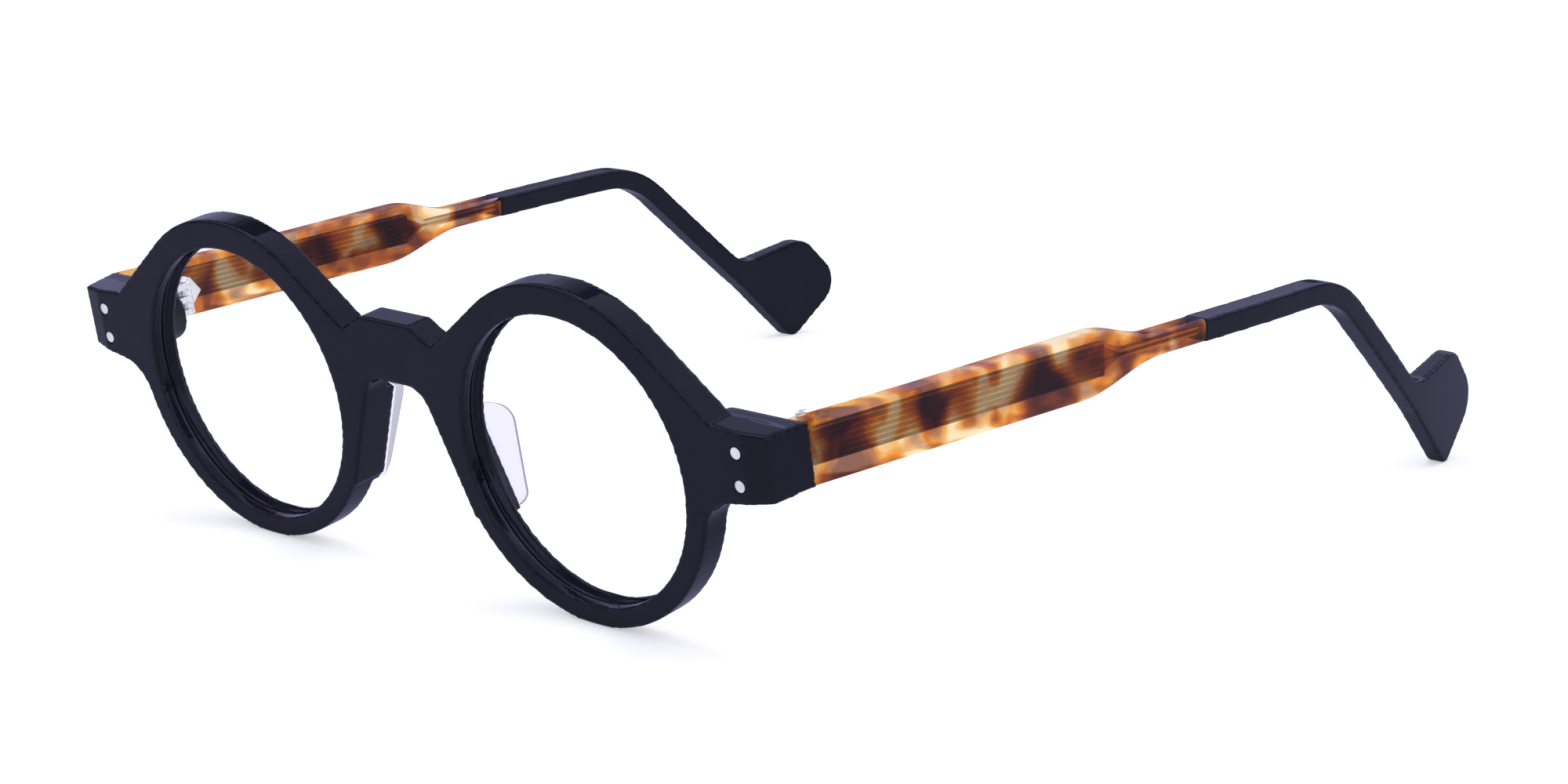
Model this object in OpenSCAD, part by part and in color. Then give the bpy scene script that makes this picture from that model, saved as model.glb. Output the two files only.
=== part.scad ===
// Round acetate eyeglasses, standing open on the rims and the temple tips.
// +Z is up, the front faces -Y, the temples run back towards +Y.
// Front pieces are drawn in the tilted front plane: X across, Z up the plane, Y into its depth.

/* [Lenses] */
// Radius of the visible lens opening
opening_r = 20; // [19.5:0.1:20.4]
// Distance from the middle of the bridge to each lens centre
lens_x = 32.6; // [32.4:0.1:33]
// Thickness of each lens
lens_t = 1.6; // [1.4:0.1:1.8]
// Radius of the lens surfaces
lens_curve_r = 130; // [110:5:180]
// Depth of the groove that holds a lens
groove_depth = 0.7; // [0.5:0.1:0.9]

/* [Front] */
// Radius of each rim's outer edge
rim_r = 23.5; // [23.4:0.1:23.7]
// Thickness of the front
front_t = 4.3; // [4:0.1:4.8]
// Lean of the front, top forward, when the glasses stand open
front_tilt = 10.5; // [9.5:0.1:11.5]
// Height of the bridge's top above the bottom of the rims
bridge_top = 37.2; // [36.8:0.1:38]
// Height of the arch under the bridge
arch_top = 28.4; // [28:0.1:28.8]

/* [Temples] */
// Thickness of each temple
temple_t = 3.8; // [3.6:0.1:4]
// Height of the wide part of each temple
temple_h = 8.5; // [8.3:0.1:8.6]
// Height of the slim part of each temple
slim_h = 3.3; // [3.1:0.1:3.7]
// Length from the joint to the black tip
tip_start = 76; // [74:0.5:79]
// Length from the joint to the bend behind the ear
bend_start = 101.5; // [99:0.5:104]
// Turn of the bend behind the ear
bend_turn = 42.5; // [42:0.5:43]

/* [Hidden] */

eps = 0.01;
overlap = 0.2;
past = 1;
big = 400;
fine = 180;

// Rims: the openings sit a little low in the rims, which are thinner below.
rim_z = rim_r;
opening_z = rim_r - 0.7;
groove_w = 2.0;
groove_y = 2.6;

// Bridge, in the front plane: half its outline as across and up positions
plateau_x = 4.8;
notch = [8.8, 34.9];
flank_top = [6.2, 26];
flank_bottom = [12.2, 11];
flank_lean = atan2(flank_bottom[0] - flank_top[0], flank_top[1] - flank_bottom[1]);
arch_corner = [flank_top[0] - (arch_top - flank_top[1]) * tan(flank_lean), arch_top];
arch_r = 4;

// Lugs that carry the temples; their outer ends sweep back a little
lug_sweep_x = 63.8;
lug_x = 67.4;
lug_sweep = 0.8;
lug_rear_x = 68.8;
lug_inner_x = 52.8;
lug_depth = 7;
lug_bottom = 23.6;
lug_top = 32.2;
lug_notch = [58.7, 32.7];
lug_fillet_r = 6;
lug_fillet_z = 16.5;
lug_fillet_x = lens_x + sqrt(pow(rim_r + lug_fillet_r, 2) - pow(rim_z - lug_fillet_z, 2));

// Hinges: the axis lies behind the lug, inboard of the temple
hinge_x = 61.8;
hinge_y = 13.4;
hinge_mid_z = 26.9;
barrel_r = 1.25;
barrel_count = 5;
barrel_h = 1.0;
barrel_gap = 0.04;
arm_t = 1.3;
screw_r = 0.6;
screw_clearance = 0.05;
screw_head_r = 1.0;
screw_head_h = 0.5;
screw_foot = 0.1;
slot_w = 0.3;
leaf_t = 1.0;
plate_x = 58.6;
plate_end = 64.5;
plate_h = 6.6;
temple_leaf_h = 4.6;
temple_leaf_z = 3.95;
rivet_r = 0.8;
rivet_x = 62.7;
rivet_z = [25.3, 29.7];
rivet_proud = 0.08;

// Temples: splayed outwards, then curving in from just before the bend.
// Each is drawn from temple_lead ahead of the joint and cut off along it.
joint_gap = 0.06;
temple_x = lug_rear_x - temple_t / 2;
temple_lead = 4;
splay = 2.6;
curve_start = 85;
curve_r = 280;
curve_inner_r = 320;
curve_len = 75;
crest_start = 20;
crest = 0.4;
step_top = [53.5, 66.3];
step_bottom = [50.5, 67.2];
step_points = 14;
slim_bottom = 3.05;
bend_r = 17;
slim_mid = slim_bottom + slim_h / 2;

// Hooked end of each tip: discs along and above the straight arm behind the bend, with their radii
hook_bump = [35.4, 8.5, 4.1];
hook_back = [40.2, 7.4, 4.8];
hook_toe = [42.0, -0.7, 1.7];
hook_root = [25.5, 0, 1.5];
hook_fillet_r = 6;

// Core wires: a grooved blade, then a thin wire into the tip
core_t = 1.3;
core_h = 4.6;
core_z = 4.6;
core_start = 0.9;
blade_end = 56;
taper_len = 4;
wire_h = 1.1;
wire_end = 84;
core_room = 0.03;
groove_count = 6;
blade_groove_w = 0.26;

// Nose pads: discs set the side view, as depth, distance along the flank and radius
pad_t = 2.6;
pad_base = 5.6;
pad_foot = [-7.6, 8.6];
pad_discs = [[2.3, 3.9, 3.1], [1.3, -5.2, 2]];
pad_flare = 29;
pad_pivot_z = 17;
pad_pivot_x = flank_bottom[0] - (pad_pivot_z - flank_bottom[1]) * tan(flank_lean);

// Where each temple starts, and the rise that sets its toe on the floor
joint_y = lug_depth + joint_gap;
temple_start = [joint_y * cos(front_tilt) - lug_bottom * sin(front_tilt),
    joint_y * sin(front_tilt) + lug_bottom * cos(front_tilt)];
toe = arm_point(hook_toe);
toe_along = toe[0] * cos(splay) + curve_offset(toe[0]) * sin(splay);
temple_rise = asin((hook_toe[2] - temple_start[1]) / norm([toe_along, toe[1]])) - atan2(toe[1], toe_along);

// The origin is the middle of the underside of the whole object's box.
frontmost_y = -(rim_z + rim_r) * sin(front_tilt);
back = arm_point(hook_back);
rearmost_y = temple_start[0] + (back[0] * cos(splay) + curve_offset(back[0]) * sin(splay)) * cos(temple_rise)
    - back[1] * sin(temple_rise) + hook_back[2];
middle_y = (frontmost_y + rearmost_y) / 2;

// Side-view position of a point given along and above the arm behind the bend
function arm_point(p) = [bend_start, slim_mid - bend_r]
    + [sin(bend_turn), cos(bend_turn)] * (bend_r + p[1])
    + [cos(bend_turn), -sin(bend_turn)] * p[0];

// How far a temple has curved inwards at distance y from the joint
function curve_offset(y) = pow(y - curve_start, 2) / (2 * curve_r);

// Points where the tangent lines from p touch a circle; side is 1 or -1
function tangent_point(centre, r, p, side) =
    let (d = p - centre, dist = norm(d), a = atan2(d[1], d[0]) + side * acos(r / dist))
    centre + r * [cos(a), sin(a)];

module on_floor() {
    translate([0, -middle_y, 0]) children();
}

// Places a child drawn in the front plane
module in_front_plane() {
    on_floor() rotate([front_tilt, 0, 0]) children();
}

// Draws a 2D outline of the front plane as a slab between two depths
module slab(y0, y1) {
    translate([0, y1, 0]) rotate([90, 0, 0]) linear_extrude(y1 - y0) children();
}

// Mirrors a right-hand piece to the left when side is -1
module on_side(side) {
    if (side < 0) mirror([1, 0, 0]) children();
    else children();
}

module both_sides() {
    children();
    mirror([1, 0, 0]) children();
}

// ---- Front ----

// A rim with the straight sides that run out of it, which meet it just inside its circle
module rim_outline() {
    centre = [lens_x, rim_z];
    touch_r = rim_r - 2 * eps;
    translate(centre) circle(r = rim_r, $fn = fine);
    polygon([notch, tangent_point(centre, touch_r, notch, -1), centre, flank_bottom, arch_corner,
        [0, arch_top], [0, notch[1]]]);
    polygon([lug_notch, tangent_point(centre, touch_r, lug_notch, 1), centre]);
}

// The lug and the soft inside corner under it
module lug_outline() {
    fillet = [lug_fillet_x, lug_fillet_z];
    corner = [lug_rear_x, lug_bottom];
    difference() {
        polygon([lug_notch, [lug_rear_x, lug_top], corner, tangent_point(fillet, lug_fillet_r, corner, 1),
            fillet, [lens_x, rim_z]]);
        translate(fillet) circle(r = lug_fillet_r, $fn = fine);
    }
}

module bridge_outline() {
    polygon([[0, bridge_top], [plateau_x, bridge_top], notch, arch_corner, [0, arch_top]]);
}

// Rounds the two upper corners of the arch under the bridge
module arch_fillet() {
    reach = arch_r / tan((90 + flank_lean) / 2);
    centre = [arch_corner[0] - reach, arch_top - arch_r];
    difference() {
        polygon([[centre[0], arch_top + eps], arch_corner + [eps, eps],
            arch_corner + reach * [sin(flank_lean), -cos(flank_lean)] + [eps, 0], centre]);
        translate(centre) circle(r = arch_r, $fn = fine);
    }
}

module front_outline() {
    both_sides() {
        rim_outline();
        lug_outline();
        bridge_outline();
        arch_fillet();
    }
}

// The part of each lug that stands behind the rim and carries the hinge
module lug_block() {
    end_r = (lug_top - lug_bottom) / 2;
    translate([lug_inner_x + end_r, lug_bottom + end_r]) circle(r = end_r, $fn = fine);
    translate([lug_inner_x + end_r, lug_bottom]) square([lug_rear_x - lug_inner_x - end_r, 2 * end_r]);
}

// What is cut off each lug: its front end sweeps back, its outer side runs out to meet the temple
module lug_trim() {
    waste = 9;
    linear_extrude(big / 2) polygon([[lug_sweep_x, 0], [lug_x, lug_sweep], [lug_rear_x, lug_depth],
        [lug_rear_x, lug_depth + past], [lug_x + waste, lug_depth + past], [lug_x + waste, -past],
        [lug_sweep_x, -past]]);
}

// Ring cut from the opening's wall, which takes the lens edge
module lens_groove() {
    wide = groove_w / 2;
    translate([lens_x, groove_y, opening_z]) rotate([90, 0, 0]) rotate_extrude($fn = fine)
        polygon([[opening_r - past, -wide], [opening_r, -wide], [opening_r + groove_depth, -wide / 3],
            [opening_r + groove_depth, wide / 3], [opening_r, wide], [opening_r - past, wide]]);
}

module rivet_holes() {
    for (z = rivet_z)
        translate([rivet_x, -past, z]) rotate([-90, 0, 0])
            cylinder(r = rivet_r, h = lug_depth + leaf_t + 2 * past, $fn = 48);
}

module front_frame() {
    color("#1b1b20") in_front_plane() difference() {
        union() {
            slab(0, front_t) front_outline();
            both_sides() {
                slab(front_t - eps, lug_depth) lug_block();
                slab(front_t - past, pad_base) intersection() {
                    pad_step();
                    front_outline();
                }
            }
        }
        both_sides() {
            lug_trim();
            slab(-past, lug_depth + past) translate([lens_x, opening_z]) circle(r = opening_r, $fn = fine);
            lens_groove();
            rivet_holes();
        }
    }
}

// ---- Lenses ----

// Height of a lens surface above its edge, at distance r from its centre
function sag(r) = sqrt(lens_curve_r * lens_curve_r - r * r)
    - sqrt(lens_curve_r * lens_curve_r - opening_r * opening_r);

module lens(side) {
    steps = 8;
    edge = groove_w / 6;
    rim = opening_r + groove_depth;
    front = [for (i = [0:steps]) let (r = opening_r * i / steps) [r, sag(r) + lens_t / 2]];
    back = [for (i = [steps:-1:0]) let (r = opening_r * i / steps) [r, sag(r) - lens_t / 2]];
    color("#eef4f8", 0.3) on_side(side) in_front_plane()
        translate([lens_x, groove_y, opening_z]) rotate([90, 0, 0])
            rotate_extrude($fn = fine) polygon(concat(front, [[rim, edge], [rim, -edge]], back));
}

// ---- Nose pads ----

// The raised strip of the rim that a pad is bonded to, in the front plane
module pad_step() {
    translate([pad_pivot_x, pad_pivot_z]) rotate(flank_lean) translate([0, pad_foot[0]])
        square([pad_t / cos(pad_flare), pad_foot[1] - pad_foot[0]]);
}

// Side view of a pad: X is depth behind the step, Y runs up the flank
module pad_profile() {
    sunk = 2;
    hull() {
        for (disc = pad_discs)
            translate([disc[0], disc[1]]) circle(r = disc[2], $fn = 64);
        translate([-sunk, pad_foot[0]]) square([sunk, pad_foot[1] - pad_foot[0]]);
    }
}

// Each pad runs along the nose side of its rim and flares outwards
module nose_pad(side) {
    color("#e9e6ee", 0.6) on_side(side) in_front_plane() intersection() {
        translate([pad_pivot_x, pad_base, pad_pivot_z]) rotate([0, -flank_lean, 0]) rotate([0, 0, -pad_flare])
            rotate([90, 0, 90]) linear_extrude(pad_t) pad_profile();
        translate([0, pad_base, 0]) cube(big / 2);
    }
}

// ---- Hinges ----

// Height of the bottom of knuckle i, counted from below
function knuckle_z(i) = hinge_mid_z + (i - barrel_count / 2) * barrel_h;

module knuckle(i) {
    translate([hinge_x, hinge_y, knuckle_z(i) + barrel_gap / 2])
        cylinder(r = barrel_r, h = barrel_h - barrel_gap, $fn = 48);
}

module knuckle_bore() {
    translate([hinge_x, hinge_y, hinge_mid_z - big / 4])
        cylinder(r = screw_r + screw_clearance, h = big / 2, $fn = 48);
}

module front_hinge(side) {
    reach = hinge_y - lug_depth - leaf_t / 2;
    color("silver") on_side(side) in_front_plane() difference() {
        union() {
            translate([plate_x, lug_depth, (rivet_z[0] + rivet_z[1] - plate_h) / 2])
                cube([plate_end - plate_x, leaf_t, plate_h]);
            for (i = [0:2:barrel_count - 1]) {
                knuckle(i);
                translate([hinge_x - barrel_r, hinge_y - reach, knuckle_z(i) + barrel_gap / 2])
                    cube([arm_t, reach, barrel_h - barrel_gap]);
            }
        }
        knuckle_bore();
        rivet_holes();
    }
}

// The leaf lies on the temple's inner face and ends in a point
module temple_hinge(side) {
    start = 4.1;
    shoulder = 9;
    point = 11;
    low = temple_leaf_z - temple_leaf_h / 2;
    high = temple_leaf_z + temple_leaf_h / 2;
    color("silver") on_side(side) difference() {
        union() {
            in_temple_frame() translate([-temple_t / 2 - leaf_t, 0, 0]) rotate([90, 0, 90]) linear_extrude(leaf_t)
                polygon([[start, low], [shoulder, low], [point, temple_leaf_z], [shoulder, high], [start, high]]);
            in_front_plane() for (i = [1:2:barrel_count - 2]) {
                knuckle(i);
                translate([hinge_x, hinge_y - arm_t / 2, knuckle_z(i) + barrel_gap / 2])
                    cube([2 * arm_t, arm_t, barrel_h - barrel_gap]);
            }
        }
        in_front_plane() knuckle_bore();
    }
}

module hinge_screw(side) {
    bottom = knuckle_z(0) - screw_foot;
    top = knuckle_z(barrel_count);
    color("silver") on_side(side) in_front_plane() translate([hinge_x, hinge_y, 0]) difference() {
        union() {
            translate([0, 0, bottom]) cylinder(r = screw_r, h = top - bottom + eps, $fn = 48);
            translate([0, 0, top]) cylinder(r = screw_head_r, h = screw_head_h, $fn = 48);
        }
        translate([-barrel_r, -slot_w / 2, top + screw_head_h / 2]) cube([2 * barrel_r, slot_w, screw_head_h]);
    }
}

module rivet(side, z) {
    color("silver") on_side(side) in_front_plane() translate([rivet_x, -rivet_proud, z])
        rotate([-90, 0, 0]) cylinder(r = rivet_r, h = lug_depth + leaf_t + rivet_proud, $fn = 48);
}

// ---- Temples ----

// Temple frame: Y runs along the wide part's underside, Z up, X is 0 on the centre line
module in_temple_frame() {
    on_floor() translate([temple_x, temple_start[0], temple_start[1]])
        rotate([temple_rise, 0, 0]) rotate([0, 0, -splay]) children();
}

// Plan view of a temple: straight, then one long arc inwards that thins it a little
module temple_plan() {
    half = temple_t / 2;
    translate([-half, -temple_lead]) square([temple_t, curve_start + temple_lead]);
    intersection() {
        difference() {
            translate([-curve_r, curve_start]) circle(r = curve_r + half, $fn = 720);
            translate([-half - curve_inner_r, curve_start]) circle(r = curve_inner_r, $fn = 720);
        }
        translate([-big / 4, curve_start - eps]) square([big / 2, curve_len]);
    }
}

// Rises smoothly from 0 to 1 as y goes from a to b
function ease(y, a, b) = 0.5 - 0.5 * cos(180 * min(1, max(0, (y - a) / (b - a))));

function step_at(range, i) = range[0] + (range[1] - range[0]) * i / step_points;

// Side view of the wide part, the step and the slim part up to the bend
module straight_side() {
    drop = temple_h + crest - slim_bottom - slim_h;
    top = [for (i = [0:step_points]) let (y = step_at(step_top, i))
        [y, temple_h + crest - drop * ease(y, step_top[0], step_top[1])]];
    bottom = [for (i = [step_points:-1:0]) let (y = step_at(step_bottom, i))
        [y, slim_bottom * ease(y, step_bottom[0], step_bottom[1])]];
    polygon(concat([[-temple_lead, 0], [-temple_lead, temple_h], [crest_start, temple_h]], top,
        [[bend_start + overlap, slim_bottom + slim_h], [bend_start + overlap, slim_bottom]], bottom));
}

// Side view of the bend
module bend_side() {
    translate([bend_start, slim_mid - bend_r]) intersection() {
        difference() {
            circle(r = bend_r + slim_h / 2, $fn = fine);
            circle(r = bend_r - slim_h / 2, $fn = fine);
        }
        polygon([[0, 0], [0, 2 * bend_r], [2 * bend_r * tan(bend_turn), 2 * bend_r]]);
    }
}

// Side view of the arm behind the bend and the hook at its end
module hook_side() {
    translate(arm_point([0, 0])) rotate([0, 0, -bend_turn]) {
        translate([-overlap, -slim_h / 2]) square([hook_toe[0], slim_h]);
        hull() for (disc = [hook_bump, hook_back, hook_toe, hook_root])
            translate([disc[0], disc[1]]) circle(r = disc[2], $fn = 64);
    }
}

// A temple with the side view given as children, bent in plan and cut along the joint
module temple_solid() {
    intersection() {
        in_temple_frame() translate([-big / 4, 0, 0]) rotate([90, 0, 90]) linear_extrude(big / 2) children();
        in_temple_frame() translate([0, 0, -big / 4]) linear_extrude(big / 2) temple_plan();
        in_front_plane() translate([-big / 2, joint_y, -big / 2]) cube(big);
    }
}

// Side view of a core wire, grown by room on every side
module core_side(room) {
    blade = core_h / 2 + room;
    wire = wire_h / 2 + room;
    wire_start = blade_end + taper_len;
    translate([0, core_z]) polygon([[core_start - room, -blade], [blade_end, -blade], [wire_start, -wire],
        [wire_end + room, -wire], [wire_end + room, wire], [wire_start, wire], [blade_end, blade],
        [core_start - room, blade]]);
}

module core_solid(room) {
    t = core_t + 2 * room;
    in_temple_frame() translate([-t / 2, 0, 0]) rotate([90, 0, 90]) linear_extrude(t) core_side(room);
}

// One long groove on each face of the blade
module core_groove(i) {
    z = core_z + (i - (groove_count - 1) / 2) * core_h / groove_count;
    side = 2 * blade_groove_w;
    for (way = [-1, 1])
        translate([way * core_t / 2, 0, z]) rotate([-90, 45, 0])
            translate([-side / 2, -side / 2, 0]) cube([side, side, blade_end]);
}

module core_wire(side) {
    color("#b9b6b0") on_side(side) difference() {
        core_solid(0);
        in_temple_frame() for (i = [0:groove_count - 1]) core_groove(i);
    }
}

module temple(side) {
    color("#b5651d") on_side(side) difference() {
        temple_solid() intersection() {
            straight_side();
            translate([tip_start - big, -big / 2]) square(big);
        }
        core_solid(core_room);
    }
}

module temple_tip(side) {
    color("#1b1b20") on_side(side) difference() {
        temple_solid() offset(r = -hook_fillet_r, $fn = 96) offset(r = hook_fillet_r, $fn = 96) {
            intersection() {
                straight_side();
                translate([tip_start, -big / 2]) square(big);
            }
            bend_side();
            hook_side();
        }
        core_solid(core_room);
    }
}

front_frame();
lens(-1);  // lens_left
lens(1);  // lens_right
nose_pad(-1);  // nose_pad_left
nose_pad(1);  // nose_pad_right
front_hinge(-1);  // front_hinge_left
front_hinge(1);  // front_hinge_right
temple_hinge(-1);  // temple_hinge_left
temple_hinge(1);  // temple_hinge_right
hinge_screw(-1);  // hinge_screw_left
hinge_screw(1);  // hinge_screw_right
rivet(-1, rivet_z[1]);  // rivet_upper_left
rivet(-1, rivet_z[0]);  // rivet_lower_left
rivet(1, rivet_z[1]);  // rivet_upper_right
rivet(1, rivet_z[0]);  // rivet_lower_right
temple(-1);  // temple_left
temple(1);  // temple_right
core_wire(-1);  // core_wire_left
core_wire(1);  // core_wire_right
temple_tip(-1);  // temple_tip_left
temple_tip(1);  // temple_tip_right
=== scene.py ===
import math

import bpy
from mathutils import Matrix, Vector

MM = 0.001
FORWARD = Vector((0, -1, 0))
BACKWARD = Vector((0, 1, 0))
SIDES = ("left", "right")

# Points nearer than this, in metres, are one point
WELD_REACH = 1e-6

# In degrees: faces that differ by less than the first are one flat face,
# and edges that turn by more than the second are sharp
FLAT_ANGLE = 0.4
SHARP_ANGLE = 30

# Widths of the rounded edges
METAL_EDGE = 0.08 * MM
RIVET_EDGE = 0.06 * MM
PAD_EDGE = 0.5 * MM
TEMPLE_EDGE = 0.8 * MM

# Worn black acetate: the fine grid that its shape is remade on, and the passes of smoothing over it
FRONT_GRID = 0.25 * MM
FRONT_PASSES = 7
TIP_GRID = 0.22 * MM
TIP_PASSES = 12

# Colours of the reflections in black, tortoiseshell and clear plastic
SHEEN = (0.23, 0.23, 0.36, 1.0)
WARM_SHEEN = (0.30, 0.26, 0.34, 1.0)
CLEAR_SHEEN = (0.60, 0.60, 0.64, 1.0)

# Refractive indices; the lenses' is low so that they reflect little, as coated lenses do
ACETATE_IOR = 1.48
PAD_IOR = 1.45
LENS_IOR = 1.12

# Scales of the noise behind uneven polish and behind the streaks of brushed or drawn metal
POLISH_SCALE = 60
STREAK_SCALE = 900
STREAK_DEPTH = 0.03 * MM

WHITE = (1.0, 1.0, 1.0, 1.0)
# Painted shade for the core wire's faces that look up, which draws its grooves
GROOVE_PAINTED_SHADE = (0.02, 0.01, 0.012, 1.0)

# Stage: lengths in metres, power in watts
FLOOR_HALF = 4.0
OVERHEAD_PLACE = (0.1, 0.1, 0.9)
OVERHEAD_WIDTH = 1.2
OVERHEAD_POWER = 6.0
ROOM_STRENGTH = 1.25

# Camera: place and nearest distance in metres, angles in degrees, lens and sensor in millimetres
CAMERA_PLACE = (0.3358, -0.3698, 0.1314)
CAMERA_NEAR = 0.01
CAMERA_AZIMUTH = 42.37
CAMERA_ELEVATION = 13.34
CAMERA_LENS = 78.2
SENSOR_WIDTH = 36.0

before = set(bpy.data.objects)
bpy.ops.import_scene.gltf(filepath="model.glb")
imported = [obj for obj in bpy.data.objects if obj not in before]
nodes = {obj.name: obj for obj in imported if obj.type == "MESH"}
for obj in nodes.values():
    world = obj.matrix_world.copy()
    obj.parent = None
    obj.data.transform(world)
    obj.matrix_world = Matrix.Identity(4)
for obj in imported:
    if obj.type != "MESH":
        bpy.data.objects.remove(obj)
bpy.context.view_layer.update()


# ---- Small helpers ----


def new_material(name):
    """A material with only an output node, and its tree."""
    material = bpy.data.materials.new(name)
    material.use_nodes = True
    tree = material.node_tree
    tree.nodes.clear()
    output = tree.nodes.new("ShaderNodeOutputMaterial")
    return material, tree, output


def node(tree, kind, **inputs):
    """A shader node with its named inputs set or linked."""
    made = tree.nodes.new(kind)
    for name, value in inputs.items():
        socket = made.inputs[name.replace("_", " ")]
        if isinstance(value, bpy.types.NodeSocket):
            tree.links.new(value, socket)
        else:
            socket.default_value = value
    return made


def position(tree, scale):
    """Object coordinates stretched by scale, as a vector output."""
    coords = tree.nodes.new("ShaderNodeTexCoord")
    mapping = tree.nodes.new("ShaderNodeMapping")
    mapping.inputs["Scale"].default_value = scale
    tree.links.new(coords.outputs["Object"], mapping.inputs["Vector"])
    return mapping.outputs["Vector"]


def noise(tree, vector, scale, detail=3.0, roughness=0.5, distortion=0.0):
    """Cloudy values from 0 to 1; a larger scale makes smaller clouds."""
    made = tree.nodes.new("ShaderNodeTexNoise")
    tree.links.new(vector, made.inputs["Vector"])
    made.inputs["Scale"].default_value = scale
    made.inputs["Detail"].default_value = detail
    made.inputs["Roughness"].default_value = roughness
    made.inputs["Distortion"].default_value = distortion
    return made.outputs["Fac"]


def ramp(tree, value, stops, interpolation="LINEAR"):
    """Turns a 0 to 1 value into a colour, by (position, colour) stops."""
    made = tree.nodes.new("ShaderNodeValToRGB")
    tree.links.new(value, made.inputs["Fac"])
    made.color_ramp.interpolation = interpolation
    elements = made.color_ramp.elements
    # New stops start in the middle and are moved to their places next
    while len(elements) < len(stops):
        elements.new(0.5)
    for element, (stop, colour) in zip(elements, stops):
        element.position = stop
        element.color = (*colour, 1.0)
    return made.outputs["Color"]


def scaled(tree, value, low, high):
    """Spreads a 0 to 1 value over low to high; values outside 0 to 1 are held at the ends."""
    made = tree.nodes.new("ShaderNodeMapRange")
    tree.links.new(value, made.inputs["Value"])
    made.inputs["To Min"].default_value = low
    made.inputs["To Max"].default_value = high
    return made.outputs["Result"]


def bump(tree, height, strength, distance):
    """A surface normal tilted by a height value; distance is the height in metres of a value of 1."""
    made = tree.nodes.new("ShaderNodeBump")
    tree.links.new(height, made.inputs["Height"])
    made.inputs["Strength"].default_value = strength
    made.inputs["Distance"].default_value = distance
    return made.outputs["Normal"]


def mixed(tree, first, second, share):
    """Mixes two shaders; share is how much of the second shows."""
    made = node(tree, "ShaderNodeMixShader", Fac=share)
    tree.links.new(first, made.inputs[1])
    tree.links.new(second, made.inputs[2])
    return made.outputs["Shader"]


def uneven_polish(tree, place, low, high):
    """A roughness that wanders from low to high over the surface."""
    return scaled(tree, noise(tree, place, POLISH_SCALE), low, high)


def polished(tree, body, roughness, output, tint, ior=ACETATE_IOR):
    """Lays a clear polished surface over the outside of a body shader."""
    gloss = node(tree, "ShaderNodeBsdfGlossy", Roughness=roughness)
    gloss.inputs["Color"].default_value = tint
    fresnel = node(tree, "ShaderNodeFresnel", IOR=ior)
    inside = tree.nodes.new("ShaderNodeNewGeometry").outputs["Backfacing"]
    outside_only = node(tree, "ShaderNodeMath", Value=fresnel.outputs["Fac"])
    outside_only.operation = "SUBTRACT"
    outside_only.use_clamp = True
    tree.links.new(inside, outside_only.inputs[1])
    surface = mixed(tree, body, gloss.outputs["BSDF"], outside_only.outputs["Value"])
    tree.links.new(surface, output.inputs["Surface"])


# ---- Materials ----


def black_acetate():
    """Polished black acetate, faintly clouded, with a cool sheen."""
    dark = (0.0030, 0.0030, 0.0048)
    less_dark = (0.0050, 0.0050, 0.0075)
    material, tree, output = new_material("black_acetate")
    place = position(tree, (1, 1, 1))
    cloud = noise(tree, place, scale=120, detail=4)
    colour = ramp(tree, cloud, [(0.3, dark), (0.7, less_dark)])
    body = node(tree, "ShaderNodeBsdfDiffuse", Color=colour)
    polish = uneven_polish(tree, place, low=0.04, high=0.07)
    polished(tree, body.outputs["BSDF"], polish, output, tint=SHEEN)
    return material


def tortoise_acetate():
    """Polished see-through acetate with patches from dark brown through amber to cream."""
    brown_to_cream = [
        (0.35, (0.060, 0.012, 0.008)),
        (0.42, (0.220, 0.040, 0.008)),
        (0.48, (0.560, 0.130, 0.008)),
        (0.53, (0.800, 0.290, 0.025)),
        (0.57, (0.950, 0.720, 0.360)),
        (0.65, (0.960, 0.820, 0.520)),
    ]
    milkiness = 0.22
    material, tree, output = new_material("tortoise_acetate")
    place = position(tree, (1.0, 0.85, 0.8))
    patches = noise(tree, place, scale=150, detail=1.6, distortion=0.5)
    colour = ramp(tree, patches, brown_to_cream, "EASE")
    # A thin layer lets more light through than the full colour would
    tint = node(tree, "ShaderNodeGamma", Color=colour, Gamma=0.40)
    clear = node(tree, "ShaderNodeBsdfTransparent", Color=tint.outputs["Color"])
    lit = node(tree, "ShaderNodeBsdfDiffuse", Color=colour)
    glow = node(tree, "ShaderNodeBsdfTranslucent", Color=colour)
    milk = mixed(tree, lit.outputs["BSDF"], glow.outputs["BSDF"], share=0.5)
    body = mixed(tree, clear.outputs["BSDF"], milk, share=milkiness)
    polish = uneven_polish(tree, place, low=0.05, high=0.11)
    polished(tree, body, polish, output, tint=WARM_SHEEN)
    return material


def clear_plastic(name, tint, painted_slant_shade, haze, ior):
    """Clear plastic, with one tint face on and a painted shade at a slant, where it also shines more."""
    material, tree, output = new_material(name)
    place = position(tree, (1, 1, 1))
    slant = node(tree, "ShaderNodeLayerWeight", Blend=0.35)
    # Painted shade: the colour darkens where the surface is seen at a slant, which draws a dark outline
    # at the edges
    colour = ramp(tree, slant.outputs["Facing"], [(0.5, tint), (0.85, painted_slant_shade)])
    clear = node(tree, "ShaderNodeBsdfTransparent", Color=colour)
    polish = uneven_polish(tree, place, low=haze, high=haze * 1.6)
    polished(tree, clear.outputs["BSDF"], polish, output, tint=CLEAR_SHEEN, ior=ior)
    return material


def metal(name, dark, light, rough, stretch):
    """Brushed or drawn metal; its streaks run along the axis where stretch is smallest."""
    material, tree, output = new_material(name)
    streaks = noise(tree, position(tree, stretch), STREAK_SCALE)
    colour = ramp(tree, streaks, [(0.3, dark), (0.7, light)])
    roughness = scaled(tree, streaks, low=rough, high=rough * 1.7)
    shader = node(tree, "ShaderNodeBsdfPrincipled", Base_Color=colour, Roughness=roughness, Metallic=1.0)
    relief = bump(tree, streaks, strength=0.15, distance=STREAK_DEPTH)
    tree.links.new(relief, shader.inputs["Normal"])
    tree.links.new(shader.outputs["BSDF"], output.inputs["Surface"])
    return material


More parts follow.
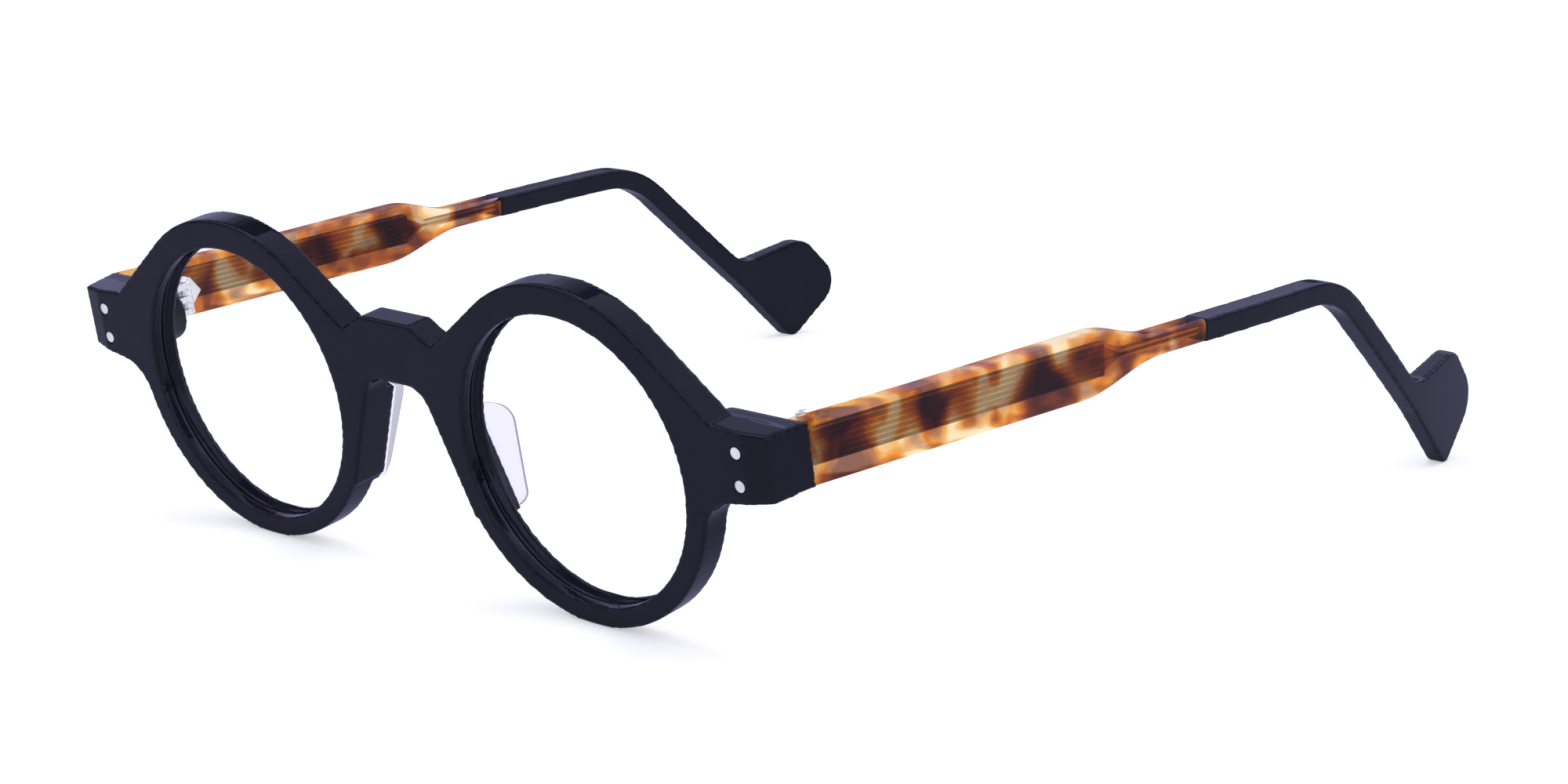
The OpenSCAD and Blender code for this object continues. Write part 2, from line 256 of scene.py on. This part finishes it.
def studio_white():
    """Pale floor, lit a little from within so that shadows on it stay light."""
    pale = (0.94, 0.94, 0.94)
    paler = (0.96, 0.96, 0.96)
    material, tree, output = new_material("studio_floor")
    cloud = noise(tree, position(tree, (1, 1, 1)), scale=4)
    colour = ramp(tree, cloud, [(0.0, pale), (1.0, paler)])
    matt = node(tree, "ShaderNodeBsdfDiffuse", Color=colour)
    glow = node(tree, "ShaderNodeEmission", Color=colour)
    surface = mixed(tree, matt.outputs["BSDF"], glow.outputs["Emission"], share=0.45)
    tree.links.new(surface, output.inputs["Surface"])
    return material


def fluted_core():
    """Drawn core wire, with painted shade that draws its grooves: faces that look up are painted dark
    and the others lighter.
    """
    dull = (0.88, 0.84, 0.78)
    bright = (0.98, 0.95, 0.90)
    material, tree, output = new_material("core_metal")
    streaks = noise(tree, position(tree, (1, 0.05, 1)), STREAK_SCALE)
    drawn = ramp(tree, streaks, [(0.3, dull), (0.7, bright)])
    coords = tree.nodes.new("ShaderNodeTexCoord")
    normal = node(tree, "ShaderNodeSeparateXYZ", Vector=coords.outputs["Normal"])
    # The painted shade is half where a face is upright or looks down, and full where it looks up
    upward = scaled(tree, normal.outputs["Z"], low=0.5, high=1.0)
    painted_shade = ramp(tree, upward, [(0.4, (0, 0, 0)), (0.6, (1, 1, 1))])
    drawn_and_painted_shade = node(tree, "ShaderNodeMixRGB", Fac=painted_shade, Color1=drawn, Color2=GROOVE_PAINTED_SHADE)
    roughness = scaled(tree, streaks, low=0.35, high=0.5)
    shader = node(
        tree,
        "ShaderNodeBsdfPrincipled",
        Base_Color=drawn_and_painted_shade.outputs["Color"],
        Roughness=roughness,
        Metallic=0.1,
    )
    tree.links.new(shader.outputs["BSDF"], output.inputs["Surface"])
    return material


# ---- Shapes ----


def painted(name, material):
    """Gives a CAD node its material."""
    piece = nodes[name]
    piece.data.materials.clear()
    piece.data.materials.append(material)
    return piece


def welded(name, material):
    """Gives a CAD node its material and joins the faces of its mesh at their shared corners."""
    piece = painted(name, material)
    weld = piece.modifiers.new("weld", "WELD")
    weld.merge_threshold = WELD_REACH
    return piece


def keep_facets(name, material):
    """Gives a CAD node its material and leaves its faces flat."""
    piece = painted(name, material)
    piece.data.shade_flat()


def wear_round(name, material, grid_size, passes):
    """Wears all the edges of a CAD node round, as tumbling does to acetate."""
    piece = welded(name, material)
    grid = piece.modifiers.new("fine_grid", "REMESH")
    grid.mode = "VOXEL"
    grid.voxel_size = grid_size
    grid.use_smooth_shade = True
    wear = piece.modifiers.new("wear", "SMOOTH")
    wear.factor = 0.5
    wear.iterations = passes


def spot(point):
    """A point's place to the nearest micron, the same for every face that meets there."""
    return tuple(round(value / WELD_REACH) for value in point)


def end_spots(name, direction):
    """The spots of the flat end of a node that faces most nearly along direction."""
    mesh = nodes[name].data
    end = max(mesh.polygons, key=lambda face: face.normal.dot(direction)).normal.copy()
    flat = [face for face in mesh.polygons if face.normal.angle(end, math.pi) < math.radians(FLAT_ANGLE)]
    return {spot(mesh.vertices[i].co) for face in flat for i in face.vertices}


def mark_sharp_edges(mesh, flat_spots):
    """Gives each sharp edge a bevel weight of 1, except those that run between flat_spots."""
    sharp_turn = math.radians(SHARP_ANGLE)
    sides = {}
    for face in mesh.polygons:
        for first, second in face.edge_keys:
            ends = frozenset((spot(mesh.vertices[first].co), spot(mesh.vertices[second].co)))
            sides.setdefault(ends, []).append(face.normal.copy())
    weights = mesh.attributes.new("bevel_weight_edge", "FLOAT", "EDGE")
    for edge in mesh.edges:
        ends = frozenset(spot(mesh.vertices[i].co) for i in edge.vertices)
        normals = sides.get(ends, [])
        sharp = len(normals) == 2 and normals[0].angle(normals[1], 0) > sharp_turn
        weights.data[edge.index].value = 1.0 if sharp and not ends <= flat_spots else 0.0


def dress(name, material, bevel=0.0, segments=1, flat_spots=frozenset()):
    """Gives a CAD node its material, smooth shading and, where bevel is more than 0, rounded edges."""
    piece = welded(name, material)
    flat = piece.modifiers.new("join_flat_faces", "DECIMATE")
    flat.decimate_type = "DISSOLVE"
    flat.angle_limit = math.radians(FLAT_ANGLE)
    if bevel:
        mark_sharp_edges(piece.data, flat_spots)
        soft = piece.modifiers.new("soft_edges", "BEVEL")
        soft.width = bevel
        soft.segments = segments
        soft.limit_method = "WEIGHT"
        soft.use_clamp_overlap = False
    for face in piece.data.polygons:
        face.use_smooth = True
    normals = piece.modifiers.new("normals", "WEIGHTED_NORMAL")
    normals.keep_sharp = True


# ---- Stage ----


def make_floor():
    """A wide pale floor at the height that the glasses stand on."""
    mesh = bpy.data.meshes.new("floor")
    half = FLOOR_HALF
    corners = [(-half, -half, 0), (half, -half, 0), (half, half, 0), (-half, half, 0)]
    mesh.from_pydata(corners, [], [(0, 1, 2, 3)])
    floor = bpy.data.objects.new("floor", mesh)
    floor.data.materials.append(studio_white())
    bpy.context.scene.collection.objects.link(floor)


def make_room():
    """White to the camera, and soft dark and bright panels to whatever reflects it."""
    dark_to_bright = [(0.40, (0.16, 0.16, 0.22)), (0.50, (1.0, 1.0, 1.1)), (0.62, (1.9, 1.9, 2.2))]
    world = bpy.data.worlds.new("studio")
    bpy.context.scene.world = world
    world.use_nodes = True
    tree = world.node_tree
    background = tree.nodes["Background"]
    coords = tree.nodes.new("ShaderNodeTexCoord")
    panels = noise(tree, coords.outputs["Generated"], scale=1.7, detail=0.5)
    room = ramp(tree, panels, dark_to_bright)
    seen = tree.nodes.new("ShaderNodeLightPath").outputs["Is Camera Ray"]
    backdrop = node(tree, "ShaderNodeMixRGB", Fac=seen, Color1=room, Color2=WHITE)
    tree.links.new(backdrop.outputs["Color"], background.inputs["Color"])
    background.inputs["Strength"].default_value = ROOM_STRENGTH


def make_overhead():
    """A wide soft light above the glasses, aimed at the origin."""
    data = bpy.data.lights.new("overhead", "AREA")
    data.shape = "RECTANGLE"
    data.size = OVERHEAD_WIDTH
    data.size_y = OVERHEAD_WIDTH
    data.energy = OVERHEAD_POWER
    light = bpy.data.objects.new("overhead", data)
    light.location = OVERHEAD_PLACE
    light.rotation_euler = (-Vector(OVERHEAD_PLACE)).to_track_quat("-Z", "Y").to_euler()
    bpy.context.scene.collection.objects.link(light)


def make_camera():
    """A camera in front of the glasses, on their +X side and a little above them."""
    azimuth = math.radians(CAMERA_AZIMUTH)
    elevation = math.radians(CAMERA_ELEVATION)
    level = math.cos(elevation)
    back = Vector((math.sin(azimuth) * level, -math.cos(azimuth) * level, math.sin(elevation)))
    data = bpy.data.cameras.new("camera")
    data.sensor_width = SENSOR_WIDTH
    data.lens = CAMERA_LENS
    data.clip_start = CAMERA_NEAR
    camera = bpy.data.objects.new("camera", data)
    camera.location = CAMERA_PLACE
    camera.rotation_euler = back.to_track_quat("Z", "Y").to_euler()
    bpy.context.scene.collection.objects.link(camera)
    bpy.context.scene.camera = camera


# ---- The glasses ----


def dress_lens_and_pad(side, lens, pad):
    """One lens, with its edges left as they are, and the rounded nose pad beside it."""
    dress(f"lens_{side}", lens)
    dress(f"nose_pad_{side}", pad, bevel=PAD_EDGE, segments=3)


def dress_hinge(side, leaf, screw, rivet):
    """The hinge between the front and one temple, with its screw and the two rivets that hold it."""
    for part in ("front_hinge", "temple_hinge"):
        dress(f"{part}_{side}", leaf, bevel=METAL_EDGE, segments=2)
    dress(f"hinge_screw_{side}", screw, bevel=METAL_EDGE, segments=2)
    for part in ("rivet_upper", "rivet_lower"):
        dress(f"{part}_{side}", rivet, bevel=RIVET_EDGE, segments=2)


def dress_temple(side, tortoise, core, tip):
    """One temple, rounded along its length and left square at the two ends that meet other pieces."""
    name = f"temple_{side}"
    ends = end_spots(name, FORWARD) | end_spots(name, BACKWARD)
    dress(name, tortoise, bevel=TEMPLE_EDGE, segments=4, flat_spots=ends)
    keep_facets(f"core_wire_{side}", core)
    wear_round(f"temple_tip_{side}", tip, TIP_GRID, TIP_PASSES)


black = black_acetate()
tortoise_shell = tortoise_acetate()
lens_clear = clear_plastic(
    "lens_clear",
    tint=(0.985, 0.99, 0.995),
    # Slight painted shade where the lens is seen at a slant
    painted_slant_shade=(0.93, 0.94, 0.95),
    haze=0.02,
    ior=LENS_IOR,
)
pad_clear = clear_plastic(
    "pad_acetate",
    tint=(0.90, 0.885, 0.945),
    # Painted dark outline where the pad is seen at a slant
    painted_slant_shade=(0.05, 0.05, 0.07),
    haze=0.05,
    ior=PAD_IOR,
)
hinge_metal = metal(
    "hinge_metal",
    dark=(0.55, 0.55, 0.57),
    light=(0.80, 0.80, 0.82),
    rough=0.22,
    stretch=(1, 1, 0.1),
)
screw_metal = metal(
    "screw_metal",
    dark=(0.60, 0.60, 0.62),
    light=(0.85, 0.85, 0.87),
    rough=0.16,
    stretch=(1, 1, 0.2),
)
rivet_metal = metal(
    "rivet_metal",
    dark=(0.50, 0.50, 0.53),
    light=(0.68, 0.68, 0.72),
    rough=0.30,
    stretch=(1, 0.2, 1),
)
core_metal = fluted_core()

wear_round("front_frame", black, FRONT_GRID, FRONT_PASSES)
for side in SIDES:
    dress_lens_and_pad(side, lens_clear, pad_clear)
    dress_hinge(side, hinge_metal, screw_metal, rivet_metal)
    dress_temple(side, tortoise_shell, core_metal, black)

make_floor()
make_room()
make_overhead()
make_camera()

bpy.context.scene.view_settings.view_transform = "Standard"
